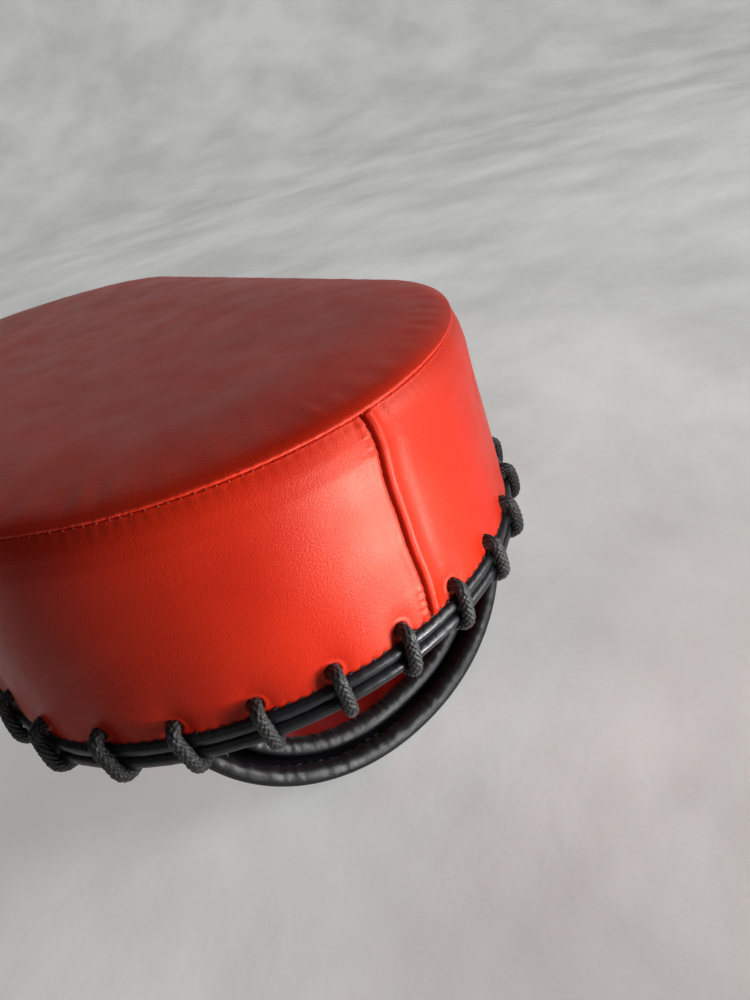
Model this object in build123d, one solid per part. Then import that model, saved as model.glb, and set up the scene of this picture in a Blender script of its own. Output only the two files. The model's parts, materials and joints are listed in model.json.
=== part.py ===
"""Thai pad: laced leather body, two forearm straps and a hand grip. Millimetres, +Z up.

X runs across the pad, Y along it (the elbow end is at -Y), Z = 0 is the floor under the straps.
"""
import os
from math import atan2, cos, degrees, exp, hypot, pi, radians, sin, sqrt

from build123d import *

# pad body
PAD_LENGTH = 352.0        # at the gusset's lower edge
PAD_WIDTH = 205.0
CORNER_R = 68.0           # the four corner arcs of the outline
CORNER_SET = 86.0         # corner arc centre to the end of the pad
WALL_HEIGHT = 69.0        # gusset, lower edge to top seam
TOP_INSET = 7.2           # the wall leans in this much at the top seam
CROWN = 7.6               # face panel's flat middle above the top seam
CROWN_BAND = 38.0         # width of the curved border of the face
LEATHER = 2.0
SEAM_GAP = 0.2            # the groove between the gusset and the face panel
CLEAR = 0.3               # between soft pieces that only lie together

# edge bindings and lacing
BEAD_R = 2.5
BEAD_OUT = 1.5            # how far a bead stands out from the gusset
CORD_R = 2.2
LACE_TURNS = 39
LACE_UP = 6.3             # gusset holes above the gusset's lower edge
LACE_HOLE_R = 2.8
LACE_SLANT = 5.5          # how far each turn travels along the edge outside the pad
LACE_TAUT = 7.0           # less than that at the elbow end, where the cord is drawn straight
LACE_TAUT_REACH = 65.0

# straps
STRAP_DROP = 50.0         # back panel above the floor
STRAP_TILT = 0.45         # the elbow strap leans to the pad's end by this slope
BAND_T = 2.6
BAND_WIDE = 62.0
CUFF_T = 5.0
CUFF_WIDE = 43.0
CUFF_BACK = 9.8           # cuff rim behind the band rim
EDGE_T = 6.0              # bound rim of the band
CUFF_EDGE_T = 6.4         # bound rim of the cuff
EDGE_WIDE = 8.0
EDGE_R = 2.0
RIM_TOP = 4.6             # a bound rim starts this far below the top corner
NEAR_RIM = 17.5           # rim of the elbow strap from the pad's end, at the bottom
MID_RIM = 160.0           # rim of the second strap from the pad's end
BAND_POINTS = [(25.3, 3.0), (59.9, 20.3), (71.4, 48.7)]
CUFF_POINTS = [(23.5, 7.9), (50.5, 22.5), (59.4, 44.8)]
FLANGE_IN = 44.0          # the sewn ends of band and cuff reach in to this x
BEND_LOW = 42.0
BEND_SIDE = 24.0
BEND_FLANGE = 3.4

# strap closure
WIRE_R = 1.6
TONGUE_T = 2.4
TONGUE_WIDE = 38.0
TONGUE_SET = 5.0          # tongue centre behind the band's centre
RING_GAP = 0.5            # between the ring wire and the leather round it
BAR_A = 5.2               # ring bars, down the side line from the band's top corner
BAR_B = 17.0
BAND_END = 20.5           # the wide part of the band ends here, the tongue goes on
PATCH_WIDE = 32.0
PATCH_DOWN = 3.0          # the patches start this far below the flap's hinge
LOOP_T = 1.65
FLAP_END_Z = 9.0

# hand grip
GRIP_Y = 100.0
GRIP_R = 12.0
GRIP_CORE_R = 9.8
GRIP_HALF = 43.0
GRIP_END_IN = 44.5
GRIP_BEND = 22.0
ANCHOR_T = 3.0
ANCHOR_LEN = 40.0
ANCHOR_WIDE = 36.0
ANCHOR_IN = 38.5          # the middle of an anchor, in from the pad's side
RIVET_R = 2.0
RIVET_CAP_R = 4.6
RIVET_IN = 25.5
RIVET_Y = 10.0

# levels and outline figures that follow from the above
BACK_Z = STRAP_DROP
BEAD_LOW_Z = BACK_Z + LEATHER / 2
BEAD_TOP_Z = BEAD_LOW_Z + 2 * BEAD_R + 0.1
EDGE_Z = BEAD_TOP_Z + BEAD_R
SEAM_Z = EDGE_Z + WALL_HEIGHT
TOP_Z = SEAM_Z + CROWN
HALF_W = PAD_WIDTH / 2
HALF_L = PAD_LENGTH / 2
ANCHOR_X = HALF_W - ANCHOR_IN
RIVET_X = HALF_W - RIVET_IN
GRIP_END_X = HALF_W - GRIP_END_IN
CORNER_Y = HALF_L - CORNER_SET
CROWN_R = (HALF_W**2 + CORNER_SET**2 - 2 * HALF_W * CORNER_R) / (2 * (CORNER_SET - CORNER_R))
CROWN_Y = HALF_L - CROWN_R
TURN = degrees(atan2(CORNER_Y - CROWN_Y, HALF_W - CORNER_R))
HINGE_AT = BAR_B + TONGUE_T / 2 + 0.4
LACE_IN = BEAD_R * 2 - BEAD_OUT + CORD_R + 0.45
STRAP_Y = {"near": -HALF_L + NEAR_RIM, "mid": -HALF_L + MID_RIM}
STRAP_SLOPE = {"near": STRAP_TILT, "mid": 0.0}


def outline(inset=0.0):
    """The pad's plan outline, moved in by inset, as a face."""
    crown = CROWN_R - inset
    corner = CORNER_R - inset
    cx = HALF_W - CORNER_R
    a = radians(TURN)
    p_side = (HALF_W - inset, CORNER_Y)
    p_mid = (cx + corner * cos(a / 2), CORNER_Y + corner * sin(a / 2))
    p_turn = (cx + corner * cos(a), CORNER_Y + corner * sin(a))
    p_end = (0, HALF_L - inset)
    with BuildSketch() as plan:
        with BuildLine():
            Line((HALF_W - inset, 0), p_side)
            ThreePointArc(p_side, p_mid, p_turn)
            b = (radians(90) + a) / 2
            p_crown = (crown * cos(b), CROWN_Y + crown * sin(b))
            ThreePointArc(p_turn, p_crown, p_end)
            Line(p_end, (0, 0))
            Line((0, 0), (HALF_W - inset, 0))
        make_face()
        mirror(about=Plane.XZ)
        mirror(about=Plane.YZ)
    return plan.sketch.faces()[0]


def plate(inset, z, height, taper=0.0):
    return extrude(Pos(0, 0, z) * outline(inset), amount=height, taper=taper)


def ring(profile):
    """Carry a profile, drawn as (outward, up) on the XZ plane, round the pad's outline."""
    cx = HALF_W - CORNER_R
    side = extrude(Pos(HALF_W, CORNER_Y, 0) * profile, amount=2 * CORNER_Y, dir=(0, -1, 0))
    corner_axis = Axis((cx, CORNER_Y, 0), (0, 0, 1))
    corner = revolve(Pos(HALF_W, CORNER_Y, 0) * profile, corner_axis, TURN)
    start = Pos(0, CROWN_Y, 0) * Rot(0, 0, TURN) * Pos(CROWN_R, 0, 0) * profile
    crown_axis = Axis((0, CROWN_Y, 0), (0, 0, 1))
    crown = revolve(start, crown_axis, 180 - 2 * TURN)
    right = side + corner + corner.mirror(Plane.XZ)
    left = right.mirror(Plane.YZ)
    return right + crown + left + crown.mirror(Plane.XZ)


def at(s, out, z):
    """The point a length s along the outline from the elbow end's middle, out from the edge."""
    crown = CROWN_R * radians(90 - TURN)
    corner = CORNER_R * radians(TURN)
    side = 2 * CORNER_Y
    half = 2 * crown + 2 * corner + side
    s = s % (2 * half)
    flip = s > half
    t = 2 * half - s if flip else s
    cx = HALF_W - CORNER_R
    if t < crown:
        a = radians(-90) + t / CROWN_R
        x, y = (CROWN_R + out) * cos(a), -CROWN_Y + (CROWN_R + out) * sin(a)
    elif t < crown + corner:
        a = radians(-TURN) + (t - crown) / CORNER_R
        x, y = cx + (CORNER_R + out) * cos(a), -CORNER_Y + (CORNER_R + out) * sin(a)
    elif t < crown + corner + side:
        x, y = HALF_W + out, -CORNER_Y + t - crown - corner
    elif t < crown + 2 * corner + side:
        a = (t - crown - corner - side) / CORNER_R
        x, y = cx + (CORNER_R + out) * cos(a), CORNER_Y + (CORNER_R + out) * sin(a)
    else:
        a = radians(TURN) + (t - crown - 2 * corner - side) / CROWN_R
        x, y = (CROWN_R + out) * cos(a), CROWN_Y + (CROWN_R + out) * sin(a)
    return Vector(-x if flip else x, y, z)


def outline_length():
    return 4 * CROWN_R * radians(90 - TURN) + 4 * CORNER_R * radians(TURN) + 4 * CORNER_Y


def lace_places():
    pitch = outline_length() / LACE_TURNS
    return [(i + 0.5) * pitch for i in range(LACE_TURNS)]


def face_panel():
    """Crowned top: a rolled border carried round the outline, and a flat middle."""
    lip = TOP_INSET + 1.0
    z = SEAM_Z + SEAM_GAP
    t = LEATHER
    with BuildSketch(Plane.XZ) as border:
        with BuildLine():
            ThreePointArc((-lip, z), (-lip + 0.9, z + 2.9), (-lip - 3.3, z + 5.4))
            ThreePointArc((-lip - 3.3, z + 5.4), (-lip - 17, TOP_Z - 0.5), (-lip - CROWN_BAND, TOP_Z))
            Line((-lip - CROWN_BAND, TOP_Z), (-lip - CROWN_BAND, TOP_Z - t))
            ThreePointArc((-lip - CROWN_BAND, TOP_Z - t), (-lip - 17, TOP_Z - 0.5 - t),
                          (-lip - 3.8, z + 5.4 - t))
            Line((-lip - 3.8, z + 5.4 - t), (-lip - t + 0.2, z + 1.6))
            Line((-lip - t + 0.2, z + 1.6), (-lip - t, z))
            Line((-lip - t, z), (-lip, z))
        make_face()
    middle = plate(lip + CROWN_BAND, TOP_Z - t, t)
    return ring(border.sketch) + middle


def side_gusset():
    """The wall: one length of leather, closed by a seam at the elbow end, punched for the lacing."""
    low = BEAD_TOP_Z - 0.6
    waist = (-3.0, EDGE_Z + 0.62 * WALL_HEIGHT)
    top = (-TOP_INSET, SEAM_Z)
    t = LEATHER
    with BuildSketch(Plane.XZ) as wall:
        with BuildLine():
            Line((0, low), (0, EDGE_Z))
            ThreePointArc((0, EDGE_Z), (-1.75, EDGE_Z + 0.31 * WALL_HEIGHT), waist)
            ThreePointArc(waist, (-3.9, EDGE_Z + 0.86 * WALL_HEIGHT), top)
            Line(top, (-TOP_INSET - t, SEAM_Z))
            ThreePointArc((-TOP_INSET - t, SEAM_Z), (-3.9 - t, EDGE_Z + 0.86 * WALL_HEIGHT),
                          (waist[0] - t, waist[1]))
            ThreePointArc((waist[0] - t, waist[1]), (-1.75 - t, EDGE_Z + 0.31 * WALL_HEIGHT),
                          (-t, EDGE_Z))
            Line((-t, EDGE_Z), (-t, low))
            Line((-t, low), (0, low))
        make_face()
    body = ring(wall.sketch)
    punch = Cylinder(LACE_HOLE_R, 4 * LEATHER)
    holes = []
    for s in lace_places():
        inner = at(s, -1, EDGE_Z + LACE_UP)
        way = at(s, 1, EDGE_Z + LACE_UP) - inner
        holes.append(Plane(inner, z_dir=way) * punch)
    seam = Pos(0, -HALF_L + TOP_INSET / 2, EDGE_Z + WALL_HEIGHT / 2)
    groove = seam * Rot(-3.4, 0, 0) * Rot(0, 0, 45) * Box(1.2, 1.2, WALL_HEIGHT * 1.2)
    keep = Pos(0, -HALF_L, EDGE_Z + WALL_HEIGHT / 2 + 2) * Box(8, 24, WALL_HEIGHT - 4)
    return body - holes - (groove & keep)


def bead(z, slot_low, slot_high, slot_in, slot_out):
    """A leather binding carried round the edge, with the slot that the bound edge sits in."""
    with BuildSketch(Plane.XZ) as section:
        with Locations((BEAD_OUT - BEAD_R, z)):
            Circle(BEAD_R)
        with Locations(((slot_in + slot_out) / 2, (slot_low + slot_high) / 2)):
            Rectangle(slot_out - slot_in, slot_high - slot_low, mode=Mode.SUBTRACT)
    return ring(section.sketch)


def gusset_binding():
    return bead(BEAD_TOP_Z, BEAD_TOP_Z - 0.6, BEAD_TOP_Z + 2 * BEAD_R, -LEATHER, 0)


def back_binding():
    return bead(BEAD_LOW_Z, BACK_Z, BACK_Z + LEATHER, -3 * BEAD_R, -0.4)


def back_panel():
    body = plate(0.4, BACK_Z, LEATHER)
    punch = Cylinder(LACE_HOLE_R, 4 * LEATHER)
    holes = []
    for s in lace_places():
        spot = at(s + lace_slant(s), -LACE_IN, BACK_Z)
        holes.append(Pos(spot) * punch)
    shank = Cylinder(RIVET_R + 0.05, 4 * LEATHER)
    for x, y in rivet_places():
        holes.append(Pos(x, y, BACK_Z) * shank)
    return body - holes


def lace_slant(s):
    """How far a turn from the hole at s travels along the edge."""
    from_end = min(s, outline_length() - s)
    return LACE_SLANT - LACE_TAUT * exp(-(from_end / LACE_TAUT_REACH)**2)


def lace_route():
    """One turn: out of the gusset, down over both bindings, up through the back panel."""
    pitch = outline_length() / LACE_TURNS
    over = BEAD_OUT + CORD_R + 0.2
    under = BEAD_LOW_Z - BEAD_R - CORD_R - 0.35
    hole_z = EDGE_Z + LACE_UP
    points = []
    for s in lace_places()[LACE_TURNS // 2 + 1:] + lace_places()[:LACE_TURNS // 2 + 1]:
        slant = lace_slant(s)
        points.append(at(s, -LACE_IN, hole_z))
        points.append(at(s, CORD_R + 0.3, hole_z))
        points.append(at(s + 0.28 * slant, over, BEAD_TOP_Z + 1.6))
        points.append(at(s + 0.6 * slant, over, BEAD_LOW_Z - 0.8))
        points.append(at(s + 0.82 * slant, over - 2.6, under))
        points.append(at(s + slant, -LACE_IN, under))
        points.append(at(s + slant, -LACE_IN, BACK_Z + 2 * LEATHER))
    last = lace_places()[LACE_TURNS // 2]
    points.append(at(last + lace_slant(last) + 8, -LACE_IN - 1, BACK_Z + 9))
    return points


def mitred_tube(points, radius, sides=6):
    """A tube with flat sides along straight runs, each corner mitred."""
    runs = [(b - a).normalized() for a, b in zip(points, points[1:])]
    across = runs[0].cross(Vector(0, 0, 1)).normalized()
    up = across.cross(runs[0])
    loop = []
    for i in range(sides):
        a = 2 * pi * i / sides
        loop.append(points[0] + across * (radius * cos(a)) + up * (radius * sin(a)))
    faces = [Face(Wire.make_polygon(loop))]
    for i, run in enumerate(runs):
        last = i == len(runs) - 1
        cut = run if last else (run + runs[i + 1]).normalized()
        end = points[i + 1]
        after = [p + run * ((end - p).dot(cut) / run.dot(cut)) for p in loop]
        for k in range(sides):
            n = (k + 1) % sides
            faces.append(Face(Wire.make_polygon([loop[k], loop[n], after[n], after[k]])))
        loop = after
    faces.append(Face(Wire.make_polygon(loop)))
    return Solid(Shell(faces))


def lacing_cord():
    return mitred_tube(lace_route(), CORD_R)


def foams():
    low = BACK_Z + LEATHER + CLEAR
    cord_top = EDGE_Z + LACE_UP + CORD_R + 1
    back = plate(LACE_IN + CORD_R + 1.2, low, cord_top - low)
    core_low = cord_top + CLEAR
    core_top = EDGE_Z + 0.62 * WALL_HEIGHT
    lean = degrees(atan2(3.0, core_top - EDGE_Z))
    core = plate(LEATHER + 1.3, core_low, core_top - core_low, lean)
    face_low = core_top + CLEAR
    face_top = TOP_Z - LEATHER - 1.8
    lean = degrees(atan2(TOP_INSET - 3.0, SEAM_Z - core_top))
    face = plate(3.0 + LEATHER + 0.5, face_low, face_top - face_low, lean)
    rim = face.edges().group_by(Axis.Z)[-1]
    return back, core, chamfer(rim, 6)


def carry(name, section, start, width):
    """Draw a section along Y from start behind the rim; a sloping plane leans the strap."""
    plane = Plane((0, STRAP_Y[name] + start, 0), x_dir=(1, 0, 0), z_dir=(0, -1, STRAP_SLOPE[name]))
    return extrude(plane * section, amount=width, dir=(0, 1, 0))


def stretch(name):
    """How much longer a height is on the strap's plane than it stands."""
    return sqrt(1 + STRAP_SLOPE[name]**2)


def lift(name, points):
    """Heights as drawn on the strap's plane, so that its bottom edge just meets the floor."""
    low = EDGE_T / 2
    return [(x, (z - low) * stretch(name) + low) for x, z in points]


def stand(name, point):
    """Where a lifted point stands above the floor."""
    x, z = lift(name, [point])[0]
    return x, z / stretch(name)


def cuff_line(name):
    """Sewn flange, side, bottom, side and sewn flange."""
    half = CUFF_POINTS + [(FLANGE_IN, CUFF_POINTS[-1][1])]
    points = [(-x, z) for x, z in reversed(half)] + half
    radii = (BEND_FLANGE, BEND_SIDE, BEND_LOW, BEND_LOW, BEND_SIDE, BEND_FLANGE)
    return FilletPolyline(*lift(name, points), radius=radii)


def side_point(along, out):
    """A point on the closure side: down the side line from its top corner, and out from it."""
    (x0, z0), (x1, z1) = BAND_POINTS[-1], BAND_POINTS[-2]
    reach = hypot(x1 - x0, z1 - z0)
    dx, dz = (x1 - x0) / reach, (z1 - z0) / reach
    return (x0 + dx * along - dz * out, z0 + dz * along + dx * out)


def band_line(name):
    """One sewn end, round under the arm, to the end of the wide part on the closure side."""
    left = BAND_POINTS + [(FLANGE_IN, BAND_POINTS[-1][1])]
    points = [(-x, z) for x, z in reversed(left)] + BAND_POINTS[:-1] + [side_point(BAND_END, 0)]
    radii = (BEND_FLANGE, BEND_SIDE, BEND_LOW, BEND_LOW, BEND_SIDE)
    return FilletPolyline(*lift(name, points), radius=radii)


def down_side(points, along):
    """The point this far down a strap's side line from its top corner."""
    (x0, z0), (x1, z1) = points[-1], points[-2]
    reach = hypot(x1 - x0, z1 - z0)
    return (x0 + (x1 - x0) * along / reach, z0 + (z1 - z0) * along / reach)


def rim_line(name, points, right):
    """The line of a bound rim: below the sewn end on the left, to this far down the right side."""
    left = down_side(points, RIM_TOP)
    corners = [(-left[0], left[1])] + [(-x, z) for x, z in reversed(points[:-1])]
    corners += points[:-1] + [down_side(points, right)]
    radii = (BEND_SIDE, BEND_LOW, BEND_LOW, BEND_SIDE)
    return FilletPolyline(*lift(name, corners), radius=radii)


def cover_line(name):
    """The band's line run on up to its top corner, for what lies on and above it."""
    points = [(-x, z) for x, z in BAND_POINTS[:1]] + BAND_POINTS
    return FilletPolyline(*lift(name, points), radius=(BEND_LOW, BEND_SIDE))


def within(section, corners):
    """The part of a section inside a polygon."""
    area = make_face(Polyline(*corners, close=True))
    return Sketch() + [face for face in (section & area).faces()]


def layer(name, inner, outer, along):
    """The section of a layer on the band's outside, from this far down to the flap's end."""
    line = cover_line(name)
    start = side_point(along, 0)
    (x0, z0), (x1, z1) = BAND_POINTS[0], BAND_POINTS[1]
    t = (FLAP_END_Z - z0) / (z1 - z0)
    end = (x0 + (x1 - x0) * t, FLAP_END_Z)
    reach = hypot(x1 - x0, z1 - z0)
    end_out = (end[0] + 14 * (z1 - z0) / reach, end[1] - 14 * (x1 - x0) / reach)
    zone = [start, side_point(along, 14), (x1 + 12, z1 - 12), end_out, end]
    faces = within(trace(line, 2 * outer) - trace(line, 2 * inner), lift(name, zone)).faces()
    return Sketch() + max(faces, key=lambda face: face.area)


def bound_rim(name, line, thick, start):
    """A leather binding along a strap's line, with its four long edges rounded."""
    strip = carry(name, trace(line, thick), start, EDGE_WIDE)
    ends = [face for face in strip.faces() if abs(face.normal_at().Y) > 0.8]
    long_edges = [edge for face in ends for edge in face.edges() if edge.length > 1.1 * thick]
    return fillet(ShapeList(long_edges), EDGE_R)


def strap_leather(name):
    """Cuff and band, each with its two bound rims."""
    line = band_line(name)
    cuff = cuff_line(name)
    rim = rim_line(name, BAND_POINTS, BAND_END)
    cuff_rim = rim_line(name, CUFF_POINTS, RIM_TOP)
    inset = EDGE_WIDE / 2
    band = carry(name, trace(line, BAND_T), inset, BAND_WIDE - EDGE_WIDE)
    sleeve = carry(name, trace(cuff, CUFF_T), CUFF_BACK + inset, CUFF_WIDE - EDGE_WIDE)
    rear = BAND_WIDE - EDGE_WIDE
    cuff_rear = CUFF_BACK + CUFF_WIDE - EDGE_WIDE
    return {
        f"{name}_band": band,
        f"{name}_band_front_edge": bound_rim(name, rim, EDGE_T, 0) - band,
        f"{name}_band_rear_edge": bound_rim(name, rim, EDGE_T, rear) - band,
        f"{name}_cuff": sleeve,
        f"{name}_cuff_front_edge": bound_rim(name, cuff_rim, CUFF_EDGE_T, CUFF_BACK) - sleeve,
        f"{name}_cuff_rear_edge": bound_rim(name, cuff_rim, CUFF_EDGE_T, cuff_rear) - sleeve,
    }


def strap_closure(name):
    """Ring in its tab, the tongue turned round it, and the flap that hooks to the band."""
    bore = WIRE_R + RING_GAP
    mid = bore + TONGUE_T / 2
    start = (BAND_WIDE - TONGUE_WIDE) / 2 + TONGUE_SET
    slope = STRAP_SLOPE[name]
    bar_a = lift(name, [side_point(BAR_A, mid)])[0]
    bar_b = lift(name, [side_point(BAR_B, mid)])[0]
    hinge = lift(name, [side_point(HINGE_AT, 2 * mid)])[0]
    top = lift(name, [(FLANGE_IN, BACK_Z - BAND_T), (FLANGE_IN, BACK_Z)])
    ax, az = bar_a
    flange = Polyline((FLANGE_IN, top[0][1]), (ax + 0.5, top[0][1]), (ax + 0.5, top[1][1]),
                      (FLANGE_IN, top[1][1]), close=True)
    neck = Pos(ax - 1, (az + top[0][1]) / 2 + 1) * Rectangle(5, top[0][1] - az + 2)
    loop = Pos(ax, az) * Circle(bore + BAND_T)
    tab = make_face(flange) + neck + loop - Pos(ax, az) * Circle(bore)

    line = cover_line(name)
    run = [side_point(BAR_B, -4), side_point(BAR_B, 4), side_point(BAND_END, 4),
           side_point(BAND_END, -4)]
    straight = within(trace(line, TONGUE_T), lift(name, run))
    over = [side_point(BAR_B, -2), side_point(BAR_B, 12), side_point(BAR_B - 9, 12),
            side_point(BAR_B - 9, -2)]
    cap = Pos(*bar_b) * (Circle(mid + TONGUE_T / 2) - Circle(bore))
    turn = within(cap, lift(name, over))

    knuckle = Pos(*hinge) * Circle(TONGUE_T / 2)
    skin = layer(name, 2 * mid - TONGUE_T / 2, 2 * mid + TONGUE_T / 2, HINGE_AT)
    loop_low = BAND_T / 2
    hook_low = loop_low + LOOP_T + CLEAR
    patch = start + (TONGUE_WIDE - PATCH_WIDE) / 2
    hook = layer(name, hook_low, 2 * mid - TONGUE_T / 2, HINGE_AT + PATCH_DOWN)
    loops = layer(name, loop_low, loop_low + LOOP_T, HINGE_AT + PATCH_DOWN)

    a, b = stand(name, side_point(BAR_A, mid)), stand(name, side_point(BAR_B, mid))
    y_mid = STRAP_Y[name] + start + TONGUE_WIDE / 2 + slope * (a[1] + b[1]) / 2
    half = TONGUE_WIDE / 2 + slope * (a[1] - b[1]) / 2 + 0.8 + WIRE_R
    frame = FilletPolyline((a[0], y_mid - half, a[1]), (a[0], y_mid + half, a[1]),
                           (b[0], y_mid + half, b[1]), (b[0], y_mid - half, b[1]),
                           radius=2.6, close=True)
    begin = Plane(frame @ 0, z_dir=frame % 0)
    return {
        f"{name}_ring_tab": carry(name, tab, start, TONGUE_WIDE),
        f"{name}_ring": sweep(begin * Circle(WIRE_R), path=frame),
        f"{name}_tongue": carry(name, straight + turn, start, TONGUE_WIDE),
        f"{name}_loop_patch": carry(name, loops, patch, PATCH_WIDE),
        f"{name}_flap": carry(name, skin + knuckle, start, TONGUE_WIDE),
        f"{name}_hook_patch": carry(name, hook, patch, PATCH_WIDE),
    }


def rivet_places():
    return [(side * RIVET_X, GRIP_Y + off) for side in (-1, 1) for off in (-RIVET_Y, RIVET_Y)]


def grip_tube(radius):
    """The grip's bent rod, cut off where it meets its anchor patches."""
    low = GRIP_R + 0.2
    points = [(-GRIP_END_X, GRIP_Y, BACK_Z + 2), (-GRIP_HALF, GRIP_Y, low),
              (GRIP_HALF, GRIP_Y, low), (GRIP_END_X, GRIP_Y, BACK_Z + 2)]
    path = FilletPolyline(*points, radius=GRIP_BEND)
    rod = sweep(Plane(path @ 0, z_dir=path % 0) * Circle(radius), path=path)
    above = Pos(0, GRIP_Y, BACK_Z - ANCHOR_T + 20) * Box(200, 60, 40)
    return rod - above


def hand_grip():
    """Rope core in a leather tube, riveted to the back panel through an anchor at each end."""
    core = grip_tube(GRIP_CORE_R)
    cover = grip_tube(GRIP_R) - grip_tube(GRIP_CORE_R)
    shank = Cylinder(RIVET_R + 0.05, 30)
    anchors = []
    for side in (-1, 1):
        base = RectangleRounded(ANCHOR_LEN, ANCHOR_WIDE, 8)
        patch = extrude(Pos(side * ANCHOR_X, GRIP_Y, BACK_Z - ANCHOR_T) * base, amount=ANCHOR_T)
        anchors.append(patch - [Pos(x, y, BACK_Z) * shank for x, y in rivet_places()])
    with BuildPart() as rivet:
        reach = ANCHOR_T + LEATHER + 1.8
        Cylinder(RIVET_R, reach, align=(Align.CENTER, Align.CENTER, Align.MIN))
        with Locations((0, 0, -1.6)):
            head = Cylinder(RIVET_CAP_R, 1.6, align=(Align.CENTER, Align.CENTER, Align.MIN))
        fillet(head.edges().filter_by(GeomType.CIRCLE).group_by(Axis.Z)[0], 1.3)
    washer = Cylinder(RIVET_CAP_R, 1.0, align=(Align.CENTER, Align.CENTER, Align.MIN))
    washer -= Cylinder(RIVET_R + 0.05, 9)
    low = BACK_Z - ANCHOR_T
    return {
        "grip_core": core,
        "grip_cover": cover,
        "grip_anchor_left": anchors[0],
        "grip_anchor_right": anchors[1],
        "grip_rivets": Compound([Pos(x, y, low) * rivet.part.solid() for x, y in rivet_places()]),
        "grip_washers": Compound([Pos(x, y, BACK_Z + LEATHER) * washer.solid()
                                  for x, y in rivet_places()]),
    }


def rivet_pockets(foam):
    """Room over the rivet ends in the foam on the back panel."""
    room = Cylinder(RIVET_CAP_R + 1, 6, align=(Align.CENTER, Align.CENTER, Align.MIN))
    return foam - [Pos(x, y, BACK_Z + LEATHER) * room for x, y in rivet_places()]


def build():
    back, core, face = foams()
    parts = {
        "face_panel": face_panel(),
        "side_gusset": side_gusset(),
        "gusset_binding": gusset_binding(),
        "back_binding": back_binding(),
        "back_panel": back_panel(),
        "lacing_cord": lacing_cord(),
        "face_foam": face,
        "core_foam": core,
        "back_foam": rivet_pockets(back),
    }
    for name in ("near", "mid"):
        parts.update(strap_leather(name))
        parts.update(strap_closure(name))
    parts.update(hand_grip())
    return parts


os.makedirs("parts", exist_ok=True)
for node, shape in build().items():
    export_step(shape, f"parts/{node}.step")
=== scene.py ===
"""Looks of the laced leather pad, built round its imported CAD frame. Metres, +Z up."""

import json
from math import atan2, cos, pi, radians, sin, sqrt

import bpy
import bmesh
import numpy as np
from mathutils import Euler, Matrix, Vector
from mathutils.bvhtree import BVHTree


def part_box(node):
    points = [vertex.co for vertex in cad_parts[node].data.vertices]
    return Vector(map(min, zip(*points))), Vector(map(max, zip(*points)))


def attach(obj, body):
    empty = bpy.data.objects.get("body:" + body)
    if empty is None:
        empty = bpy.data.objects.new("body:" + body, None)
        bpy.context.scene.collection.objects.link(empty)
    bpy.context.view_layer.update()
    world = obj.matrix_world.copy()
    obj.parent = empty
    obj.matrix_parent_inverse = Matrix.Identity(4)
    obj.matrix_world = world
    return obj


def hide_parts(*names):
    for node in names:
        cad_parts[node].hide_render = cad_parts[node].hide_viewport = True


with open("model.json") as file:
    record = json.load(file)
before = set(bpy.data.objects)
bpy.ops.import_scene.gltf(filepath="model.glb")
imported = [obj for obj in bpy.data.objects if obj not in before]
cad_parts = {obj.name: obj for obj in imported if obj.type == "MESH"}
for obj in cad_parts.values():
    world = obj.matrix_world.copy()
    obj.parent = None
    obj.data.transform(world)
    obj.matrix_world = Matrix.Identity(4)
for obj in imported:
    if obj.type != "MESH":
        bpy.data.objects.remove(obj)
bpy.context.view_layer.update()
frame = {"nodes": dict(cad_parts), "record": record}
record = frame["record"]
MM = 0.001

# ---------------------------------------------------------------- outline of the pad
gusset_top = np.array(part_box("side_gusset")[1])
HALF_W = gusset_top[0]
HALF_L = gusset_top[1]
CORNER_R = 0.068
CORNER_SET = 0.086
CORNER_Y = HALF_L - CORNER_SET
CROWN_R = (HALF_W**2 + CORNER_SET**2 - 2 * HALF_W * CORNER_R) / (2 * (CORNER_SET - CORNER_R))
CROWN_Y = HALF_L - CROWN_R
TURN = atan2(CORNER_Y - CROWN_Y, HALF_W - CORNER_R)
CROWN_LEN = CROWN_R * (pi / 2 - TURN)
CORNER_LEN = CORNER_R * TURN
HALF_ROUND = 2 * CROWN_LEN + 2 * CORNER_LEN + 2 * CORNER_Y
ROUND = 2 * HALF_ROUND

BACK_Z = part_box("back_panel")[0][2]
BEAD_R = 2.5 * MM
BEAD_OUT = 1.5 * MM
LOW_BEAD_Z = BACK_Z + MM
TOP_BEAD_Z = LOW_BEAD_Z + 2 * BEAD_R + 0.1 * MM
EDGE_Z = TOP_BEAD_Z + BEAD_R
SEAM_Z = gusset_top[2]
WALL = SEAM_Z - EDGE_Z
TOP_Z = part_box("face_panel")[1][2]
INSET = 7.2 * MM  # how far the top seam lies in from the pad's widest line
CORD_R = 2.2 * MM
TURNS = 39
PITCH = ROUND / TURNS
HOLE_Z = EDGE_Z + 3.4 * MM
SLANT = 5.5 * MM
TAUT = 7.0 * MM
TAUT_REACH = 65 * MM
LACE_IN = 2 * BEAD_R - BEAD_OUT + CORD_R + 0.45 * MM
STITCH = 4.0 * MM
EDGE_COUNT = int(ROUND / STITCH)
WAVE_RING = ROUND / 7  # radius of a circle that stands for the way round in random waves


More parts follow.
